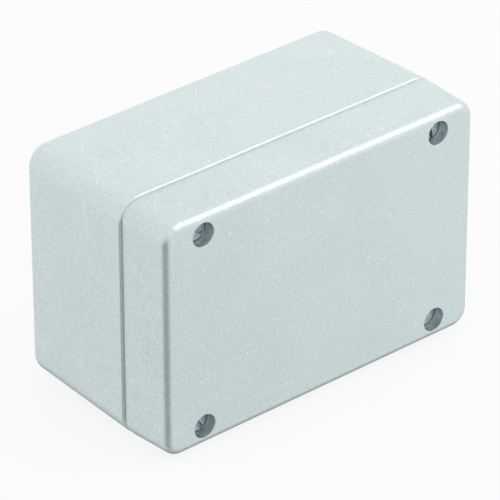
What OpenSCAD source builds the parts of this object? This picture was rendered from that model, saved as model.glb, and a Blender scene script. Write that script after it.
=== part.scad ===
// Die-cast aluminium box: deep base, screwed lid with a moulded gasket,
// four captive cover screws and an earth terminal inside.
//
// Frame: X runs along the box, the lid faces -Y and the back +Y, Z is up.
// The box stands on a long side wall, with z = 0 at the lowest edge.
// The modules are drawn about the middle of the joint between base and lid:
// the base lies at y > 0 there, the lid at y < 0. Sizes are in mm.

/* [Box] */
// Outside length at the joint
box_l = 120; // [112:1:180]
// Outside height at the joint
box_h = 79.4; // [74:0.1:120]
// Depth of the base, from the joint to the back
base_d = 44.8; // [34:0.1:60]
// Depth of the lid, from the joint to the front
lid_d = 18.6; // [18:0.1:24]
// Thickness of the side walls at the joint
wall = 3.2; // [2.8:0.1:4]
// Thickness of the back and of the front
plate = 3; // [2.4:0.1:4]

/* [Casting] */
// Draft of the base's sides, in degrees
base_draft = 1.8; // [0.5:0.1:2.4]
// Draft of the lid's sides, in degrees
lid_draft = 3; // [0.5:0.1:4]
// Corner radius of the base at the joint
base_corner = 8.1; // [6:0.1:10]
// Corner radius of the lid at the joint
lid_corner = 6.5; // [5:0.1:9]
// Round along the back edges of the base
back_round = 3; // [1:0.1:5]
// Round along the front edges of the lid
front_round = 2.6; // [1:0.1:3]
// Step from the base's rim in to the lid's rim
lid_step = 0.45; // [0.2:0.05:0.6]
// Round along the base's rim
base_rim_round = 0.7; // [0.3:0.1:0.8]
// Radius of the roll along the lid's rim
lid_rim_round = 8; // [3:0.5:12]
// How far the roll brings the lid's rim in
lid_rim_set = 0.3; // [0.1:0.05:0.4]
// Round along the foot of the walls inside
foot_round = 1.2; // [0.6:0.1:2]

/* [Cover screws] */
// Distance from each end of the box to the screws
screw_end_inset = 15.4; // [14.6:0.1:17.8]
// Distance from each long side of the box to the screws
screw_side_inset = 7.7; // [7.2:0.1:9.6]
// Thread radius
screw_r = 2; // [1.7:0.1:2]
// Head radius
head_r = 3.5; // [3.2:0.1:3.5]
// Head height
head_h = 2.6; // [2.2:0.1:3]
// Radius of the sunk hole round the head
sunk_r = 3.75; // [3.75:0.05:4.1]
// Depth of the head's seat below the front
seat_depth = 6.2; // [5:0.1:6.4]
// Length of thread in the base when the lid is down
grip = 7.4; // [6:0.1:9]

/* [Seal] */
// Width of the tongue on the base
tongue_w = 0.9; // [0.7:0.05:1]
// Height of the tongue
tongue_h = 1.2; // [0.8:0.1:2]
// Room beside the tongue in the lid's groove
groove_gap = 0.35; // [0.32:0.01:0.45]
// Thickness of the gasket
gasket_t = 1.5; // [1:0.1:2.5]

/* [Fixings inside] */
// Distance from each end of the box to the wall fixing holes
fix_end_inset = 7.5; // [7:0.1:8.5]
// Distance from each long side of the box to the wall fixing holes
fix_side_inset = 14.7; // [13.7:0.1:15.7]
// Radius of the wall fixing holes
fix_r = 2.2; // [1.7:0.05:2.7]
// Radius of the well that takes the fixing screw's head
well_r = 4; // [3.8:0.1:4.2]
// Distance from each end of the box to the plate bosses
boss_end_inset = 29; // [28:0.5:40]
// Distance from each long side of the box to the plate bosses
boss_side_inset = 10.7; // [9.7:0.1:14.7]
// Radius of the tapping hole in each plate boss
tap_r = 1.65; // [1.3:0.05:2.1]
// Height of the plate bosses
boss_h = 5; // [4:0.5:8]
// Distance from the end of the box to the earth terminal
earth_inset = 13; // [12:0.5:16]

/* [Hidden] */
$fn = 32;
// Straight steps in the round along an edge
arc_steps = 6;

// Clearance of a thread in its hole, and of a running fit
thread_gap = 0.08;
run_gap = 0.05;
// A cutter starts this far outside the face that it opens
cut = 1;

// Where the middle of the joint lies
joint_y = (lid_d - base_d) / 2;
joint_z = box_h / 2;

// Centres of the cover screws, the wall fixings, the plate bosses and the earth
screw_x_spacing = box_l - 2 * screw_end_inset;
screw_z_spacing = box_h - 2 * screw_side_inset;
fix_x_spacing = box_l - 2 * fix_end_inset;
fix_z_spacing = box_h - 2 * fix_side_inset;
boss_x_spacing = box_l - 2 * boss_end_inset;
boss_z_spacing = box_h - 2 * boss_side_inset;
earth_x = box_l / 2 - earth_inset;

// Cavity: a long bar and a tall bar, crossed, leave four corner blocks
long_x = box_l / 2 - wall;
tall_z = box_h / 2 - wall;
block_x = screw_x_spacing / 2 - 6.6;
block_z = fix_z_spacing / 2 - 7.2;
block_round = 4;
bar_corner = snap(foot_round + base_d * tan(base_draft) + 0.9);

// Tongue and groove, measured outwards from the edge of the cavity
tongue_set = 0.2;
groove_in = tongue_set - groove_gap;
groove_out = tongue_set + tongue_w + groove_gap;
lid_cavity_edge = groove_in - 1;
lid_foot_round = 0.7;

// Outer corners stay large enough for the draft and the end round
base_post = max(base_corner, snap(back_round + base_d * tan(base_draft) + 0.4));
lid_post = max(lid_corner, snap(front_round + lid_d * tan(lid_draft) + 0.4));

// Cover screws and clips, measured from the joint
seat_y = seat_depth - lid_d;
clearance_r = screw_r + 0.25;
tapped_r = screw_r + thread_gap;
tapped_depth = grip + 4;
neck_r = screw_r - 0.5;
shank_r = screw_r - 0.1;
clip_t = 1;
clip_r = 3.5;
clip_y = -2.4;
neck_len = clip_t + 0.2;
shoulder_t = 2.4;
pocket_r = clip_r + 0.35;
slot_w = 1.2;
slot_depth = 1.2;
screw_turn = [35, 80, 125, 62];

// Wall fixings and the earth terminal
fix_floor = 4.5;
relief_r = 4.6;
relief_depth = 11;
boss_r = 4;
earth_boss_r = 5.5;
earth_boss_h = 4;
earth_grip = 6;
washer_t = 0.8;
washer_r = 4.5;
spring_t = 1;
spring_r = 3.7;
earth_head_r = 3.5;
earth_head_h = 2.6;

// Shallow round marks that the ejector pins leave inside both castings
ejector_r = 3;
ejector_depth = 0.25;
ejector_x_spacing = box_l - 2 * 42;
ejector_z_spacing = box_h - 2 * 21.7;

// To the nearest 0.001 mm, so that neighbouring shapes share their faces exactly
function snap(v) = round(v * 1000) / 1000;
function side_x(reach, draft, y) = snap(reach - y * tan(draft));
function corner_sign(i) = [[-1, 1], [1, 1], [1, -1], [-1, -1]][i];

// ---------- shared shapes ----------

// Points of an arc, counted so that the ends are included
function arc(x, y, r, from, to) = [
  for (i = [0 : arc_steps])
    let (a = from + (to - from) * i / arc_steps)
      [snap(x + r * cos(a)), snap(y + r * sin(a))]
];

// Section of a drafted wall, from the axis out: the rim at y = 0, the end at y = depth
module wall_section(reach, depth, draft, end_r, rim_r, rim_set, over) {
  end_y = depth - end_r;
  end_x = side_x(reach, draft, end_y) - end_r / cos(draft);
  rim_turn = rim_r > 0 ? acos(1 - rim_set / rim_r) : 0;
  rim_y = rim_r * sin(rim_turn);
  rim_x = side_x(reach, draft, rim_y) - rim_r / cos(draft);
  rim = rim_r > 0
    ? concat([[0, 0]], arc(rim_x, rim_y, rim_r, -rim_turn, draft))
    : [[0, -over], [side_x(reach, draft, -over), -over]];
  polygon(concat(rim, arc(end_x, end_y, end_r, draft, 90), [[0, depth]]));
}

// The same section on both sides of the axis
module wall_pair(reach, depth, draft, end_r, rim_r, rim_set, over) {
  wall_section(reach, depth, draft, end_r, rim_r, rim_set, over);
  mirror([1, 0])
    wall_section(reach, depth, draft, end_r, rim_r, rim_set, over);
}

// Rounded block whose four sides lean in towards its end
module drafted_block(l, h, depth, draft, corner, end_r, rim_r = 0, rim_set = 0, over = 0) {
  linear_extrude(height = h - 2 * corner, center = true)
    wall_pair(l / 2, depth, draft, end_r, rim_r, rim_set, over);
  rotate([0, -90, 0])
    linear_extrude(height = l - 2 * corner, center = true)
      wall_pair(h / 2, depth, draft, end_r, rim_r, rim_set, over);
  quarters()
    translate([l / 2 - corner, 0, corner - h / 2])
      rotate([-90, 0, 0])
        rotate_extrude(angle = 90)
          wall_section(corner, depth, draft, end_r, rim_r, rim_set, over);
}

// The same thing in all four quarters, seen along Y
module quarters() {
  for (mx = [0, 1], mz = [0, 1])
    mirror([mx, 0, 0])
      mirror([0, 0, mz])
        children();
}

// Round bar along Y
module bar(r, from, to) {
  translate([0, from, 0])
    rotate([-90, 0, 0])
      cylinder(r = r, h = to - from);
}

// Cone along Y
module cone(r_from, r_to, from, to) {
  translate([0, from, 0])
    rotate([-90, 0, 0])
      cylinder(r1 = r_from, r2 = r_to, h = to - from);
}

// Quarter of a flat ring round Y, between the X and Z directions given by sx and sz
module quarter_ring(x, z, inner, outer, sx, sz, from, to) {
  translate([x, 0, z])
    mirror([sx < 0 ? 1 : 0, 0, 0])
      mirror([0, 0, sz < 0 ? 1 : 0])
        translate([0, to, 0])
          rotate([90, 0, 0])
            rotate_extrude(angle = 90)
              translate([inner, 0])
                square([outer - inner, to - from]);
}

// Band that follows the edge of the cavity, from g0 to g1 outside it
module cross_band(g0, g1, from, to) {
  c = bar_corner;
  w = g1 - g0;
  t = to - from;
  for (s = [0, 1]) {
    mirror([0, 0, s])
      translate([c - block_x, from, tall_z + g0])
        cube([2 * (block_x - c), t, w]);
    mirror([s, 0, 0])
      translate([long_x + g0, from, c - block_z])
        cube([w, t, 2 * (block_z - c)]);
  }
  quarters() {
    quarter_ring(block_x - c, tall_z - c, c + g0, c + g1, 1, 1, from, to);
    quarter_ring(long_x - c, block_z - c, c + g0, c + g1, 1, 1, from, to);
    quarter_ring(
      block_x + block_round, block_z + block_round,
      block_round - g1, block_round - g0, -1, -1, from, to
    );
    translate([block_x + g0, from, block_z + block_round])
      cube([w, t, tall_z - c - block_z - block_round]);
    translate([block_x + block_round, from, block_z + g0])
      cube([long_x - c - block_x - block_round, t, w]);
  }
}

// Rounded inner edge of a corner block, wider towards the end as the sides lean in
module block_post(round, depth, draft) {
  rotate([-90, 0, 0])
    rotate_extrude(angle = 90)
      polygon([
        [0, -cut],
        [side_x(round, -draft, -cut), -cut],
        [side_x(round, -draft, depth), depth],
        [0, depth]
      ]);
}

// Crossed bars with drafted sides, and a rounded edge on each corner block
module cavity(g, depth, draft, foot_r) {
  corner = bar_corner + g;
  round = block_round - g;
  // A hair more than tangent, so that the faces cross cleanly
  post_r = round + 0.02;
  lean = depth * tan(draft) + 0.5;
  post_depth = depth - foot_r;
  drafted_block(2 * (long_x + g), 2 * (block_z + g), depth, draft, corner, foot_r, 0, 0, cut);
  drafted_block(2 * (block_x + g), 2 * (tall_z + g), depth, draft, corner, foot_r, 0, 0, cut);
  quarters()
    translate([block_x + g + round, 0, block_z + g + round])
      difference() {
        translate([-round - lean, -cut, -round - lean])
          cube([round + lean, post_depth + cut, round + lean]);
        mirror([1, 0, 0])
          block_post(post_r, post_depth, draft);
      }
}

// Places one thing at each corner of a rectangle
module at_corners(x_spacing, z_spacing) {
  for (i = [0 : 3])
    translate([corner_sign(i)[0] * x_spacing / 2, 0, corner_sign(i)[1] * z_spacing / 2])
      children();
}

module at_cover_screw(i) {
  translate([
    corner_sign(i)[0] * screw_x_spacing / 2,
    joint_y,
    joint_z + corner_sign(i)[1] * screw_z_spacing / 2
  ])
    children();
}

// ---------- castings ----------

module tongue() {
  cross_band(tongue_set, tongue_set + tongue_w, -tongue_h, 0);
}

module base_casting() {
  color([0.80, 0.82, 0.82])
    translate([0, joint_y, joint_z])
      difference() {
        union() {
          difference() {
            drafted_block(
              box_l, box_h, base_d, base_draft, base_post, back_round,
              base_rim_round, base_rim_round
            );
            cavity(0, base_d - plate, base_draft, foot_round);
          }
          tongue();
          at_corners(boss_x_spacing, boss_z_spacing)
            bar(boss_r, base_d - plate - boss_h, base_d - plate + 0.5);
          translate([-earth_x, 0, 0])
            bar(earth_boss_r, base_d - plate - earth_boss_h, base_d - plate + 0.5);
        }
        // tapped holes for the cover screws
        at_corners(screw_x_spacing, screw_z_spacing) {
          bar(tapped_r, -cut, tapped_depth);
          cone(tapped_r, 0.1, tapped_depth, tapped_depth + 1);
          cone(tapped_r + 0.5, tapped_r, 0, 0.5);
        }
        // wells and holes for the wall fixings
        at_corners(fix_x_spacing, fix_z_spacing) {
          bar(well_r, -cut, base_d - fix_floor);
          bar(fix_r, 0, base_d + cut);
        }
        // tapping holes in the plate bosses
        at_corners(boss_x_spacing, boss_z_spacing)
          bar(tap_r, base_d - plate - boss_h - cut, base_d - plate + 0.6);
        // marks of the ejector pins
        at_corners(ejector_x_spacing, ejector_z_spacing)
          bar(ejector_r, base_d - plate - cut, base_d - plate + ejector_depth);
        // tapped hole for the earth screw
        translate([-earth_x, 0, 0])
          bar(
            screw_r + thread_gap,
            base_d - plate - earth_boss_h - cut,
            base_d - plate + 1
          );
      }
}

module lid_casting() {
  color([0.78, 0.80, 0.80])
    translate([0, joint_y, joint_z])
      difference() {
        mirror([0, 1, 0])
          difference() {
            drafted_block(
              box_l - 2 * lid_step, box_h - 2 * lid_step,
              lid_d, lid_draft, lid_post, front_round, lid_rim_round, lid_rim_set
            );
            cavity(lid_cavity_edge, lid_d - plate, lid_draft, lid_foot_round);
          }
        // groove for the gasket and the tongue
        cross_band(groove_in, groove_out, -tongue_h - gasket_t, cut);
        // screw holes: sunk for the head, clear, then a pocket for the clip
        at_corners(screw_x_spacing, screw_z_spacing) {
          bar(sunk_r, -lid_d - cut, seat_y);
          cone(sunk_r + 0.25, sunk_r, -lid_d, -lid_d + 0.25);
          bar(clearance_r, -lid_d, cut);
          bar(pocket_r, seat_y + shoulder_t, cut);
        }
        // room over the heads of the wall fixing screws
        at_corners(fix_x_spacing, fix_z_spacing)
          bar(relief_r, -relief_depth, cut);
        // marks of the ejector pins
        at_corners(ejector_x_spacing, ejector_z_spacing)
          bar(ejector_r, plate - lid_d - ejector_depth, plate - lid_d + cut);
      }
}

module lid_gasket() {
  color([0.12, 0.12, 0.13])
    translate([0, joint_y, joint_z])
      cross_band(groove_in + run_gap, groove_out - run_gap, -tongue_h - gasket_t, -tongue_h);
}

// ---------- screws and clips ----------

// Cheese-head screw along Y, with the head's seat at y = 0 and the slot at -y
module slotted_screw(r, length, top_r, top_h, turn, neck_at) {
  rotate([0, turn, 0])
    difference() {
      rotate([-90, 0, 0])
        rotate_extrude()
          polygon(concat(
            [
              [0, -top_h],
              [top_r - 0.4, -top_h],
              [top_r - 0.05, -top_h + 0.35],
              [top_r, 0]
            ],
            neck_at > 0
              ? [
                  [r - 0.1, 0],
                  [r - 0.1, neck_at],
                  [neck_r, neck_at],
                  [neck_r, neck_at + neck_len]
                ]
              : [],
            [
              [r, neck_at > 0 ? neck_at + neck_len : 0],
              [r, length - 0.6],
              [r - 0.6, length],
              [0, length]
            ]
          ));
      translate([-top_r - cut, -top_h - cut, -slot_w / 2])
        cube([2 * (top_r + cut), slot_depth + cut, slot_w]);
    }
}

module cover_screw(i) {
  color([0.62, 0.64, 0.66])
    at_cover_screw(i)
      translate([0, seat_y, 0])
        slotted_screw(
          screw_r, grip - seat_y, head_r, head_h,
          screw_turn[i], clip_y - 0.1 - seat_y
        );
}

module cover_screw_1() {
  cover_screw(0);
}

module cover_screw_2() {
  cover_screw(1);
}

module cover_screw_3() {
  cover_screw(2);
}

module cover_screw_4() {
  cover_screw(3);
}

// Open ring in the screw's neck; it stops the screw at the lid's shoulder
module retaining_clip(i) {
  color([0.45, 0.46, 0.47])
    at_cover_screw(i)
      difference() {
        bar(clip_r, clip_y, clip_y + clip_t);
        bar(neck_r + run_gap, clip_y - cut, clip_y + clip_t + cut);
        translate([-neck_r * 0.8, clip_y - cut, 0])
          cube([neck_r * 1.6, clip_t + 2 * cut, clip_r + cut]);
      }
}

module retaining_clip_1() {
  retaining_clip(0);
}

module retaining_clip_2() {
  retaining_clip(1);
}

module retaining_clip_3() {
  retaining_clip(2);
}

module retaining_clip_4() {
  retaining_clip(3);
}

// ---------- earth terminal ----------

module at_earth(lift) {
  translate([-earth_x, joint_y + base_d - plate - earth_boss_h - lift, joint_z])
    children();
}

module earth_washer() {
  color([0.75, 0.74, 0.66])
    at_earth(0)
      difference() {
        bar(washer_r, -washer_t, 0);
        bar(screw_r + 0.15, -washer_t - cut, cut);
      }
}

// Split ring
module earth_spring_washer() {
  color([0.55, 0.56, 0.57])
    at_earth(washer_t)
      difference() {
        bar(spring_r, -spring_t, 0);
        bar(screw_r + 0.15, -spring_t - cut, cut);
        rotate([0, 0, 25])
          translate([-0.3, -spring_t - cut, 0])
            cube([0.6, spring_t + 2 * cut, spring_r + cut]);
      }
}

module earth_screw() {
  color([0.80, 0.68, 0.40])
    at_earth(washer_t + spring_t)
      slotted_screw(
        screw_r, earth_grip + washer_t + spring_t - 1.2,
        earth_head_r, earth_head_h, 20, 0
      );
}

base_casting();
lid_casting();
lid_gasket();
cover_screw_1();
cover_screw_2();
cover_screw_3();
cover_screw_4();
retaining_clip_1();
retaining_clip_2();
retaining_clip_3();
retaining_clip_4();
earth_screw();
earth_spring_washer();
earth_washer();
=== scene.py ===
"""Looks of the die-cast box: cast castings, slotted captive screws, gasket and earth terminal."""

import math

import bmesh
import bpy
from mathutils import Matrix, Vector


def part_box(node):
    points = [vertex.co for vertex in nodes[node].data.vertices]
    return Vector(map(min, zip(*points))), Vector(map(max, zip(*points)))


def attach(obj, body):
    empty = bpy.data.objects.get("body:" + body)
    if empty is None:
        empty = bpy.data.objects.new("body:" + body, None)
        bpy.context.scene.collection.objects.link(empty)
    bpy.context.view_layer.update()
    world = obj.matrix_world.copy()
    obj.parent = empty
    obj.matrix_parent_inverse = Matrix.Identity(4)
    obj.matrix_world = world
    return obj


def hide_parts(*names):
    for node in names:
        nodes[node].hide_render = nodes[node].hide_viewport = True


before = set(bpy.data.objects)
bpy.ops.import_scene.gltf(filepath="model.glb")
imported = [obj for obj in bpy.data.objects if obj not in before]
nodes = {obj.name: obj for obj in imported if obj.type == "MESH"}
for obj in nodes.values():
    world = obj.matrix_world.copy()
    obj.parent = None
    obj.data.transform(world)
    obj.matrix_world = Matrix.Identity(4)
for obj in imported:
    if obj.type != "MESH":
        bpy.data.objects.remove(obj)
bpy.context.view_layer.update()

MM = 0.001

# Camera: focal length on a 36 mm sensor, and its place and directions in metres
SENSOR_WIDTH = 36
CAMERA_LENS = 304.695
CAMERA_PLACE = Vector((-0.694033, -0.815162, 0.677129))
CAMERA_RIGHT = Vector((0.761175, -0.648545, -0.001361))
CAMERA_UP = Vector((0.334483, 0.390771, 0.857566))

# Room round the box, then its patches: direction, inner and outer angle in degrees, colour
ROOM_COLOUR = (0.93, 0.94, 0.94, 1)
ROOM_PATCHES = (
    ((0.556, 0.653, 0.514), 10, 60, (1.02, 1.02, 1.02)),
    ((-0.66, -0.57, -0.50), 16, 48, (0.36, 0.38, 0.38)),
    ((0.30, 0.25, -0.92), 12, 50, (0.34, 0.34, 0.35)),
    ((0.55, -0.50, 0.67), 14, 42, (1.10, 1.10, 1.09)),
)
BOX_MIDDLE = Vector((0, 0, 0.04))

# Floor: reach of its sheet, how far it lies below the box, and its share of own light
FLOOR_REACH = 4
FLOOR_DROP = 0.0002
FLOOR_GLOW = 0.84

# Distances under which neighbouring points are one
MERGE_PIECE = 0.0000005
MERGE_CASTING = 0.000002

# ---------- stage, light and camera ----------


def link(obj):
    bpy.context.scene.collection.objects.link(obj)
    return obj


def add_camera():
    """Camera at the box's usual three-quarter angle, from the upper left front."""
    data = bpy.data.cameras.new("camera")
    data.sensor_width = SENSOR_WIDTH
    data.lens = CAMERA_LENS
    data.clip_end = 20
    camera = link(bpy.data.objects.new("camera", data))
    back = CAMERA_RIGHT.cross(CAMERA_UP).normalized()
    place = Matrix((CAMERA_RIGHT, CAMERA_UP, back)).transposed().to_4x4()
    place.translation = CAMERA_PLACE
    camera.matrix_world = place
    bpy.context.scene.camera = camera


def add_lobe(tree, direction, inner, outer):
    """How much a direction lies inside a soft round patch of the surroundings, 0 to 1."""
    place = tree.nodes.new("ShaderNodeTexCoord")
    dot = tree.nodes.new("ShaderNodeVectorMath")
    dot.operation = "DOT_PRODUCT"
    dot.inputs[1].default_value = Vector(direction).normalized()
    tree.links.new(place.outputs["Generated"], dot.inputs[0])
    fade = tree.nodes.new("ShaderNodeMapRange")
    fade.interpolation_type = "SMOOTHSTEP"
    fade.inputs["From Min"].default_value = math.cos(math.radians(outer))
    fade.inputs["From Max"].default_value = math.cos(math.radians(inner))
    tree.links.new(dot.outputs["Value"], fade.inputs["Value"])
    return fade.outputs["Result"]


def add_world():
    """White studio with a soft bright panel, a darker near side and a darker table below."""
    world = bpy.data.worlds.new("studio")
    world.use_nodes = True
    tree = world.node_tree
    tree.nodes.clear()
    room = None
    for direction, inner, outer, colour in ROOM_PATCHES:
        mix = tree.nodes.new("ShaderNodeMix")
        mix.data_type = "RGBA"
        if room is None:
            mix.inputs[6].default_value = ROOM_COLOUR
        else:
            tree.links.new(room, mix.inputs[6])
        mix.inputs[7].default_value = (*colour, 1)
        tree.links.new(add_lobe(tree, direction, inner, outer), mix.inputs[0])
        room = mix.outputs[2]
    studio = tree.nodes.new("ShaderNodeBackground")
    tree.links.new(room, studio.inputs["Color"])
    white = tree.nodes.new("ShaderNodeBackground")
    white.inputs["Color"].default_value = (1, 1, 1, 1)
    ray = tree.nodes.new("ShaderNodeLightPath")
    pick = tree.nodes.new("ShaderNodeMixShader")
    tree.links.new(ray.outputs["Is Camera Ray"], pick.inputs["Fac"])
    tree.links.new(studio.outputs[0], pick.inputs[1])
    tree.links.new(white.outputs[0], pick.inputs[2])
    out = tree.nodes.new("ShaderNodeOutputWorld")
    tree.links.new(pick.outputs[0], out.inputs["Surface"])
    bpy.context.scene.world = world
    bpy.context.scene.view_settings.view_transform = "Standard"


def add_lamp(name, direction, distance, size, power):
    """Square soft lamp that faces the box."""
    data = bpy.data.lights.new(name, "AREA")
    data.shape = "SQUARE"
    data.size = size
    data.energy = power
    lamp = link(bpy.data.objects.new(name, data))
    way = Vector(direction).normalized()
    lamp.location = BOX_MIDDLE + way * distance
    lamp.rotation_euler = way.to_track_quat("Z", "Y").to_euler()


def add_floor():
    """Pale floor that is white to the camera and keeps the box's soft shadow."""
    bm = bmesh.new()
    bmesh.ops.create_grid(bm, x_segments=1, y_segments=1, size=FLOOR_REACH)
    bmesh.ops.translate(bm, verts=bm.verts, vec=(0, 0, -FLOOR_DROP))
    mesh = bpy.data.meshes.new("floor")
    bm.to_mesh(mesh)
    bm.free()
    floor = link(bpy.data.objects.new("floor", mesh))
    material = bpy.data.materials.new("floor_paper")
    material.use_nodes = True
    tree = material.node_tree
    tree.nodes.clear()
    paper = tree.nodes.new("ShaderNodeBsdfDiffuse")
    paper.inputs["Color"].default_value = (0.8, 0.8, 0.8, 1)
    shine = tree.nodes.new("ShaderNodeEmission")
    shine.inputs["Color"].default_value = (1, 1, 1, 1)
    shine.inputs["Strength"].default_value = 1
    both = tree.nodes.new("ShaderNodeMixShader")
    both.inputs["Fac"].default_value = FLOOR_GLOW
    tree.links.new(paper.outputs[0], both.inputs[1])
    tree.links.new(shine.outputs[0], both.inputs[2])
    ray = tree.nodes.new("ShaderNodeLightPath")
    pick = tree.nodes.new("ShaderNodeMixShader")
    tree.links.new(ray.outputs["Is Camera Ray"], pick.inputs["Fac"])
    tree.links.new(paper.outputs[0], pick.inputs[1])
    tree.links.new(both.outputs[0], pick.inputs[2])
    out = tree.nodes.new("ShaderNodeOutputMaterial")
    tree.links.new(pick.outputs[0], out.inputs["Surface"])
    mesh.materials.append(material)
    floor.visible_glossy = False


add_camera()
add_world()
add_lamp("soft_panel", direction=(0.55, -0.50, 0.80), distance=1.6, size=1.1, power=3.0)
add_floor()

# ---------- finishes ----------


class Finish:
    """Small helper that builds a surface's node tree on Object coordinates."""

    def __init__(self, name):
        self.material = bpy.data.materials.new(name)
        self.material.use_nodes = True
        self.tree = self.material.node_tree
        self.tree.nodes.clear()
        self.surface = self.node("ShaderNodeBsdfPrincipled")
        out = self.node("ShaderNodeOutputMaterial")
        self.join(self.surface.outputs[0], out.inputs["Surface"])
        where = self.node("ShaderNodeTexCoord")
        self.place = where.outputs["Object"]
        self.normal = where.outputs["Normal"]

    def node(self, kind, **settings):
        made = self.tree.nodes.new(kind)
        for key, value in settings.items():
            setattr(made, key, value)
        return made

    def join(self, a, b):
        self.tree.links.new(a, b)

    def put(self, socket, value):
        if isinstance(value, bpy.types.NodeSocket):
            self.join(value, socket)
        else:
            socket.default_value = value

    def mapped(self, scale=(1, 1, 1), turn=(0, 0, 0), shift=(0, 0, 0)):
        made = self.node("ShaderNodeMapping")
        made.inputs["Location"].default_value = shift
        made.inputs["Rotation"].default_value = turn
        made.inputs["Scale"].default_value = scale
        self.join(self.place, made.inputs["Vector"])
        return made.outputs["Vector"]

    def noise(self, scale, detail=2.0, rough=0.5, vector=None, distortion=0.0):
        made = self.node("ShaderNodeTexNoise")
        self.join(vector or self.place, made.inputs["Vector"])
        made.inputs["Scale"].default_value = scale
        made.inputs["Detail"].default_value = detail
        made.inputs["Roughness"].default_value = rough
        made.inputs["Distortion"].default_value = distortion
        return made.outputs["Fac"]

    def remap(self, value, low, high, to_low=0.0, to_high=1.0, smooth=True):
        made = self.node("ShaderNodeMapRange")
        made.interpolation_type = "SMOOTHSTEP" if smooth else "LINEAR"
        self.join(value, made.inputs["Value"])
        made.inputs["From Min"].default_value = low
        made.inputs["From Max"].default_value = high
        made.inputs["To Min"].default_value = to_low
        made.inputs["To Max"].default_value = to_high
        return made.outputs["Result"]

    def math(self, operation, a, b=0.0):
        made = self.node("ShaderNodeMath", operation=operation)
        self.put(made.inputs[0], a)
        self.put(made.inputs[1], b)
        return made.outputs[0]

    def mix(self, fac, a, b):
        made = self.node("ShaderNodeMix", data_type="RGBA")
        self.put(made.inputs[0], fac)
        self.put(made.inputs[6], a)
        self.put(made.inputs[7], b)
        return made.outputs[2]

    def bump(self, height, depth, strength=1.0, normal=None):
        made = self.node("ShaderNodeBump")
        made.inputs["Strength"].default_value = strength
        made.inputs["Distance"].default_value = depth
        self.join(height, made.inputs["Height"])
        if normal:
            self.join(normal, made.inputs["Normal"])
        return made.outputs["Normal"]


FLECK_TONE = (0.84, 0.90, 0.90, 1)
SCRATCH_TONE = (0.93, 0.95, 0.95, 1)
SPECK_TONE = (0.95, 0.97, 0.97, 1)
# Pale specks in three sizes: cells per metre, size within a cell, and how rare they are
SPECKS = ((360, 0.20, 0.95), (700, 0.26, 0.91), (240, 0.13, 0.955))


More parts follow.
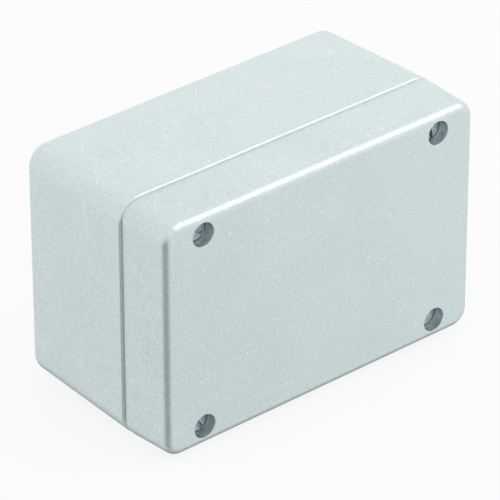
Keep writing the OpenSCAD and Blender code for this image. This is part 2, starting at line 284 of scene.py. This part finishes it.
def cast_aluminium(name, dark, pale, shift, painted_light_axis, painted_light_span):
    """As-cast, tumbled aluminium: cloudy patches, fine grain, pale specks and faint scratches, with
    painted light that makes it lighter along one axis.
    """
    f = Finish(name)
    place = f.mapped(shift=shift)
    clouds = f.noise(46, 4, 0.55, place, 0.5)
    mottle = f.noise(300, 5, 0.7, place)
    flecks = f.noise(1150, 3, 0.7, place)
    grain = f.noise(3800, 2, 0.6, place)

    # painted light: the colour grows lighter along the given axis, standing in for how the light falls on
    # the casting; it is mixed with the random clouds into one tone
    along = f.node("ShaderNodeVectorMath", operation="DOT_PRODUCT")
    f.join(f.place, along.inputs[0])
    along.inputs[1].default_value = painted_light_axis
    painted_light_ramp = f.remap(along.outputs["Value"], *painted_light_span, smooth=False)
    tone = f.math("ADD", f.math("MULTIPLY", painted_light_ramp, 0.45), f.math("MULTIPLY", clouds, 0.55))
    colour = f.mix(f.remap(tone, 0.12, 0.88, smooth=False), (*dark, 1), (*pale, 1))
    patch = f.remap(mottle, 0.38, 0.66)
    colour = f.mix(f.math("MULTIPLY", patch, 0.28), colour, (*(min(1, c * 1.16) for c in dark), 1))
    fleck = f.remap(flecks, 0.48, 0.66)
    colour = f.mix(f.math("MULTIPLY", fleck, 0.36), colour, FLECK_TONE)
    shadow = f.remap(flecks, 0.46, 0.32)
    colour = f.mix(f.math("MULTIPLY", shadow, 0.26), colour, (*(c * 0.74 for c in dark), 1))

    # pale specks of bare metal, crowded in some places
    crowd = f.remap(f.noise(48, 2, 0.5, place), 0.45, 0.68)
    specks = None
    for scale, size, rare in SPECKS:
        cells = f.node("ShaderNodeTexVoronoi")
        f.join(place, cells.inputs["Vector"])
        cells.inputs["Scale"].default_value = scale
        spot = f.remap(cells.outputs["Distance"], size * 0.45, size, 1.0, 0.0)
        split = f.node("ShaderNodeSeparateColor")
        f.join(cells.outputs["Color"], split.inputs[0])
        some = f.math("ADD", split.outputs[0], f.math("MULTIPLY", crowd, 0.08))
        found = f.math("MULTIPLY", spot, f.remap(some, rare, rare + 0.05))
        specks = found if specks is None else f.math("MAXIMUM", specks, found)
    colour = f.mix(f.math("MULTIPLY", specks, 0.70), colour, SPECK_TONE)

    # faint scratches from tumbling: broken lines between large distorted cells
    bend = f.node("ShaderNodeTexNoise")
    f.join(place, bend.inputs["Vector"])
    bend.inputs["Scale"].default_value = 60
    drift = f.node("ShaderNodeVectorMath", operation="MULTIPLY_ADD")
    f.join(bend.outputs["Color"], drift.inputs[0])
    drift.inputs[1].default_value = (0.010, 0.010, 0.010)
    f.join(place, drift.inputs[2])
    lines = f.node("ShaderNodeTexVoronoi", feature="DISTANCE_TO_EDGE")
    f.join(drift.outputs[0], lines.inputs["Vector"])
    lines.inputs["Scale"].default_value = 75
    thin = f.remap(lines.outputs["Distance"], 0.006, 0.016, 1.0, 0.0)
    broken = f.remap(f.noise(210, 2, 0.6, place), 0.56, 0.66)
    scratch = f.math("MULTIPLY", thin, broken)
    colour = f.mix(f.math("MULTIPLY", scratch, 0.26), colour, SCRATCH_TONE)
    f.join(colour, f.surface.inputs["Base Color"])

    # rounded edges are rubbed smoother than the flats
    facing = f.node("ShaderNodeVectorMath", operation="ABSOLUTE")
    f.join(f.normal, facing.inputs[0])
    parts = f.node("ShaderNodeSeparateXYZ")
    f.join(facing.outputs[0], parts.inputs[0])
    flat = f.math("MAXIMUM", parts.outputs[0], f.math("MAXIMUM", parts.outputs[1], parts.outputs[2]))
    rubbed = f.remap(flat, 0.985, 0.90)
    f.surface.inputs["Metallic"].default_value = 0.92
    uneven = f.remap(flecks, 0.3, 0.7, 0.03, -0.03)
    rough = f.math("ADD", f.remap(mottle, 0.3, 0.7, 0.43, 0.50), uneven)
    f.join(f.math("SUBTRACT", rough, f.math("MULTIPLY", rubbed, 0.10)), f.surface.inputs["Roughness"])
    waves = f.bump(f.noise(55, 2, 0.5, place), 0.00010)
    pits = f.bump(mottle, 0.00004, 1.0, waves)
    pebbles = f.bump(flecks, 0.000022, 1.0, pits)
    f.join(f.bump(grain, 0.000008, 1.0, pebbles), f.surface.inputs["Normal"])
    return f.material


def plain_metal(name, tone, rough, scale):
    f = Finish(name)
    mottle = f.noise(scale, 3, 0.6)
    dark = tuple(c * 0.82 for c in tone)
    f.join(f.mix(f.remap(mottle, 0.3, 0.7), (*dark, 1), (*tone, 1)), f.surface.inputs["Base Color"])
    f.surface.inputs["Metallic"].default_value = 1.0
    f.join(f.remap(mottle, 0.3, 0.7, rough - 0.05, rough + 0.08), f.surface.inputs["Roughness"])
    f.join(f.bump(f.noise(scale * 6, 2, 0.6), 0.00001), f.surface.inputs["Normal"])
    return f.material


def rubber(name):
    f = Finish(name)
    grain = f.noise(900, 3, 0.6)
    f.join(f.mix(grain, (0.012, 0.012, 0.013, 1), (0.03, 0.03, 0.032, 1)), f.surface.inputs["Base Color"])
    f.surface.inputs["Roughness"].default_value = 0.75
    f.join(f.bump(grain, 0.00003), f.surface.inputs["Normal"])
    return f.material


base_metal = cast_aluminium(
    "base_cast_aluminium",
    dark=(0.600, 0.680, 0.688),
    pale=(0.725, 0.800, 0.806),
    shift=(0.0, 0.0, 0.0),
    # painted light: the base is drawn lighter upwards
    painted_light_axis=(0.3, 0.35, 0.9),
    painted_light_span=(0.0, 0.09),
)
lid_metal = cast_aluminium(
    "lid_cast_aluminium",
    dark=(0.590, 0.678, 0.684),
    pale=(0.715, 0.800, 0.802),
    shift=(0.31, 0.17, 0.07),
    # painted light: the lid is drawn lighter upwards and towards +x
    painted_light_axis=(0.75, 0.0, 0.65),
    painted_light_span=(-0.025, 0.085),
)
screw_steel = plain_metal("zinc_plated_steel", (0.56, 0.59, 0.62), 0.34, 500)
clip_steel = plain_metal("spring_steel", (0.34, 0.35, 0.37), 0.40, 500)
brass = plain_metal("turned_brass", (0.72, 0.55, 0.27), 0.30, 500)
seal_rubber = rubber("gasket_rubber")

# ---------- pieces ----------


def set_material(obj, material):
    if not obj.material_slots:
        obj.data.materials.append(material)
    for slot in obj.material_slots:
        slot.link = "OBJECT"
        slot.material = material


def from_bmesh(bm, name, smooth_angle=35):
    """Closed mesh object at the origin, with faces outwards and hard edges kept hard."""
    bmesh.ops.remove_doubles(bm, verts=bm.verts, dist=MERGE_PIECE)
    bmesh.ops.recalc_face_normals(bm, faces=bm.faces)
    for face in bm.faces:
        face.smooth = True
    mesh = bpy.data.meshes.new(name)
    bm.to_mesh(mesh)
    bm.free()
    mesh.set_sharp_from_angle(angle=math.radians(smooth_angle))
    return link(bpy.data.objects.new(name, mesh))


def applied(obj, name):
    """Plain mesh of an object with its modifiers applied; the object itself goes."""
    graph = bpy.context.evaluated_depsgraph_get()
    mesh = bpy.data.meshes.new_from_object(obj.evaluated_get(graph))
    bpy.data.objects.remove(obj)
    return link(bpy.data.objects.new(name, mesh))


def casting(node, body, material):
    """Merged copy of a casting, shaded smooth between its sharp edges."""
    mesh = nodes[node].data.copy()
    bm = bmesh.new()
    bm.from_mesh(mesh)
    bmesh.ops.remove_doubles(bm, verts=bm.verts, dist=MERGE_CASTING)
    for face in bm.faces:
        face.smooth = True
    bm.to_mesh(mesh)
    bm.free()
    mesh.materials.clear()
    mesh.materials.append(material)
    piece = link(bpy.data.objects.new(node + "_skin", mesh))
    mesh.set_sharp_from_angle(angle=math.radians(32))
    soften = piece.modifiers.new("even_shading", "WEIGHTED_NORMAL")
    soften.keep_sharp = True
    soften.mode = "FACE_AREA_WITH_ANGLE"
    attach(piece, body)
    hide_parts(node)
    return piece


def lathe(bm, profile, steps=48):
    """Turns (radius, y) points round the Y axis; a radius of 0 closes an end."""
    rings = []
    for radius, y in profile:
        if radius == 0:
            rings.append([bm.verts.new((0, y, 0))])
            continue
        turn = [2 * math.pi * i / steps for i in range(steps)]
        rings.append([bm.verts.new((radius * math.cos(a), y, radius * math.sin(a))) for a in turn])
    for low, high in zip(rings, rings[1:]):
        for i in range(steps):
            j = (i + 1) % steps
            if len(low) == 1:
                bm.faces.new((low[0], high[i], high[j]))
            elif len(high) == 1:
                bm.faces.new((low[i], high[0], low[j]))
            else:
                bm.faces.new((low[i], high[i], high[j], low[j]))


def bend(centre, radius, start, stop, steps=4):
    """Points of a small round in a profile, angles in degrees."""
    return [
        (
            centre[0] + radius * math.cos(math.radians(start + (stop - start) * i / steps)),
            centre[1] + radius * math.sin(math.radians(start + (stop - start) * i / steps)),
        )
        for i in range(steps + 1)
    ]


STEPS_PER_TURN = 26
THREAD_INPUTS = (
    ("Root radius", 1.62 * MM),
    ("Height", 0.36 * MM),
    ("Foot width", 0.25 * MM),
    ("Crest width", 0.04 * MM),
    ("Pitch", 0.7 * MM),
    ("Turns", 10.0),
    ("Start", 0.0),
)


def thread_tree():
    """Node tree of one helical ridge: a closed four-sided bar wound round the Y axis."""
    tree = bpy.data.node_groups.new("thread_ridge", "GeometryNodeTree")
    face = tree.interface
    socket = {}
    face.new_socket(name="Geometry", in_out="INPUT", socket_type="NodeSocketGeometry")
    for name, value in THREAD_INPUTS:
        made = face.new_socket(name=name, in_out="INPUT", socket_type="NodeSocketFloat")
        made.default_value = value
        socket[name] = made.identifier
    made = face.new_socket(name="Steps", in_out="INPUT", socket_type="NodeSocketInt")
    made.default_value = 280
    socket["Steps"] = made.identifier
    made = face.new_socket(name="Finish", in_out="INPUT", socket_type="NodeSocketMaterial")
    socket["Finish"] = made.identifier
    face.new_socket(name="Geometry", in_out="OUTPUT", socket_type="NodeSocketGeometry")
    source = tree.nodes.new("NodeGroupInput").outputs

    def math_node(operation, a, b=0.0, c=None):
        made = tree.nodes.new("ShaderNodeMath")
        made.operation = operation
        for i, value in enumerate((a, b, c)):
            if value is None:
                continue
            if isinstance(value, bpy.types.NodeSocket):
                tree.links.new(value, made.inputs[i])
            else:
                made.inputs[i].default_value = value
        return made.outputs[0]

    grid = tree.nodes.new("GeometryNodeMeshGrid")
    grid.inputs["Size X"].default_value = 1
    grid.inputs["Size Y"].default_value = 1
    grid.inputs["Vertices Y"].default_value = 5
    tree.links.new(source["Steps"], grid.inputs["Vertices X"])
    split = tree.nodes.new("ShaderNodeSeparateXYZ")
    tree.links.new(tree.nodes.new("GeometryNodeInputPosition").outputs[0], split.inputs[0])
    along = math_node("ADD", split.outputs[0], 0.5)
    across = math_node("ADD", split.outputs[1], 0.5)

    # rows 1 and 2 are the crest, rows 0 and 3 the foot, and row 4 closes on row 0
    from_crest = math_node("ABSOLUTE", math_node("SUBTRACT", across, 0.375))
    crest = math_node("LESS_THAN", from_crest, 0.2)
    low_side = math_node("LESS_THAN", across, 0.375)
    last = math_node("GREATER_THAN", across, 0.9)
    lower = math_node("MAXIMUM", low_side, last)
    side = math_node("SUBTRACT", 1.0, math_node("MULTIPLY", lower, 2.0))
    foot = math_node("MULTIPLY", source["Foot width"], math_node("SUBTRACT", 1.0, crest))
    width = math_node("MULTIPLY_ADD", source["Crest width"], crest, foot)

    # both ends run out to a point
    nearer_end = math_node("MINIMUM", along, math_node("SUBTRACT", 1.0, along))
    ends = math_node("MULTIPLY", nearer_end, source["Turns"])
    fade = math_node("MINIMUM", math_node("MULTIPLY", ends, 2.5), 1.0)
    lift = math_node("MULTIPLY", math_node("MULTIPLY", source["Height"], crest), fade)
    radius = math_node("ADD", source["Root radius"], lift)
    offset = math_node("MULTIPLY", math_node("MULTIPLY", side, width), fade)

    turned = math_node("MULTIPLY", along, source["Turns"])
    angle = math_node("MULTIPLY", turned, 2 * math.pi)
    place = tree.nodes.new("ShaderNodeCombineXYZ")
    tree.links.new(math_node("MULTIPLY", radius, math_node("COSINE", angle)), place.inputs[0])
    climb = math_node("MULTIPLY", turned, source["Pitch"])
    down = math_node("SUBTRACT", source["Start"], climb)
    tree.links.new(math_node("ADD", down, offset), place.inputs[1])
    tree.links.new(math_node("MULTIPLY", radius, math_node("SINE", angle)), place.inputs[2])

    moved = tree.nodes.new("GeometryNodeSetPosition")
    tree.links.new(grid.outputs["Mesh"], moved.inputs["Geometry"])
    tree.links.new(place.outputs[0], moved.inputs["Position"])
    closed = tree.nodes.new("GeometryNodeMergeByDistance")
    closed.inputs["Distance"].default_value = 0.000001
    tree.links.new(moved.outputs[0], closed.inputs["Geometry"])
    real = tree.nodes.new("GeometryNodeRealizeInstances")
    tree.links.new(closed.outputs[0], real.inputs["Geometry"])
    finish = tree.nodes.new("GeometryNodeSetMaterial")
    tree.links.new(real.outputs[0], finish.inputs["Geometry"])
    tree.links.new(source["Finish"], finish.inputs["Material"])
    out = tree.nodes.new("NodeGroupOutput")
    tree.links.new(finish.outputs[0], out.inputs[0])
    return tree, socket


ridge_tree, ridge_socket = thread_tree()


def thread_mesh(root, height, start, length, finish, foot=0.25, crest=0.04, pitch=0.7):
    """Helical ridge from y = start towards -y, sizes in mm; a negative height faces inwards."""
    seed = link(bpy.data.objects.new("thread_seed", bpy.data.meshes.new("thread_seed")))
    wind = seed.modifiers.new("thread", "NODES")
    wind.node_group = ridge_tree
    turns = length / pitch
    values = {
        "Root radius": root * MM,
        "Height": height * MM,
        "Foot width": foot * MM,
        "Crest width": crest * MM,
        "Pitch": pitch * MM,
        "Turns": turns,
        "Start": start * MM,
        "Steps": int(turns * STEPS_PER_TURN),
        "Finish": finish,
    }
    for name, value in values.items():
        wind[ridge_socket[name]] = value
    return applied(seed, "thread_ridge")


def joined(objs, name, material, smooth_angle=35):
    """One mesh object made of several, all with one finish."""
    bm = bmesh.new()
    for obj in objs:
        bm.from_mesh(obj.data)
        bpy.data.objects.remove(obj)
    made = from_bmesh(bm, name, smooth_angle)
    made.data.materials.append(material)
    return made


def slotted_blank(head, shank, turn, slot_w=1.2, slot_d=1.2):
    """Turned screw without its thread: head and shank profiles in mm, slot cut across the head."""
    bm = bmesh.new()
    lathe(bm, [(r * MM, y * MM) for r, y in head + shank])
    blank = from_bmesh(bm, "blank")
    top = head[0][1] * MM
    reach = max(r for r, _ in head) * MM * 1.3
    bm = bmesh.new()
    bmesh.ops.create_cube(bm, size=1)
    bmesh.ops.scale(bm, verts=bm.verts, vec=(2 * reach, 2 * slot_d * MM, slot_w * MM))
    bmesh.ops.translate(bm, verts=bm.verts, vec=(0, top, 0))
    turned = Matrix.Rotation(math.radians(turn), 4, "Y")
    bmesh.ops.transform(bm, matrix=turned, verts=bm.verts)
    cutter = from_bmesh(bm, "slot_cutter")
    cut = blank.modifiers.new("slot", "BOOLEAN")
    cut.operation = "DIFFERENCE"
    cut.solver = "EXACT"
    cut.object = cutter
    broken = blank.modifiers.new("broken_edges", "BEVEL")
    broken.width = 0.05 * MM
    broken.segments = 2
    broken.limit_method = "ANGLE"
    broken.angle_limit = math.radians(50)
    done = applied(blank, "blank")
    bpy.data.objects.remove(cutter)
    return done


def place_piece(piece, where, body, slot, *replaced):
    """Moves a finished mesh to its place and ties it to its body."""
    piece.data.transform(Matrix.Translation(Vector(where)))
    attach(piece, body)
    if replaced:
        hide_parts(*replaced)


# Cover screws, in mm along the screw from the head's seat
HEAD_TOP = -2.6
COVER_HEAD = (
    [(0, HEAD_TOP), (3.0, HEAD_TOP)]
    + bend((3.05, HEAD_TOP + 0.40), 0.40, -90, 0)
    + bend((3.40, -0.10), 0.10, 0, 90, 2)
)
COVER_SHANK = [
    (1.9, 0),
    (1.9, 9.9),
    (1.5, 9.95),
    (1.5, 11.05),
    (1.62, 11.1),
    (1.62, 19.4),
    (1.2, 19.8),
    (0, 19.8),
]
# Screw thread: from near the tip back to the neck
SCREW_THREAD = {"root": 1.58, "height": 0.40, "start": 19.7, "length": 8.4}
# Base thread, facing inwards. It starts past the bottom of the tapped hole
TAPPED_THREAD = {"root": 2.12, "height": -0.36, "start": 30.35, "length": 10.4}
# Turn of each screw's slot in degrees, and the height of the heads' seats
SCREW_TURNS = (35, 80, 125, 62)
SEAT_Y = -25.5


def cover_screws():
    """Four slotted screws with their threads, and the threads that belong to the base."""
    for number, turn in enumerate(SCREW_TURNS, 1):
        low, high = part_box(f"cover_screw_{number}")
        blank = slotted_blank(COVER_HEAD, COVER_SHANK, turn)
        thread = thread_mesh(finish=screw_steel, **SCREW_THREAD)
        screw = joined([blank, thread], f"threaded_cover_screw_{number}", screw_steel)
        where = ((low[0] + high[0]) / 2, SEAT_Y * MM, (low[2] + high[2]) / 2)
        place_piece(screw, where, f"screw_{number}", "screw_steel", f"cover_screw_{number}")
        ridge = thread_mesh(finish=base_metal, **TAPPED_THREAD)
        tapped = joined([ridge], f"tapped_thread_{number}", base_metal)
        place_piece(tapped, where, "base", "base_metal")


casting("base_casting", "base", base_metal)
casting("lid_casting", "lid", lid_metal)
set_material(nodes["lid_gasket"], seal_rubber)
set_material(nodes["earth_screw"], brass)
set_material(nodes["earth_washer"], screw_steel)
set_material(nodes["earth_spring_washer"], screw_steel)
cover_screws()
for n in (1, 2, 3, 4):
    set_material(nodes[f"retaining_clip_{n}"], clip_steel)
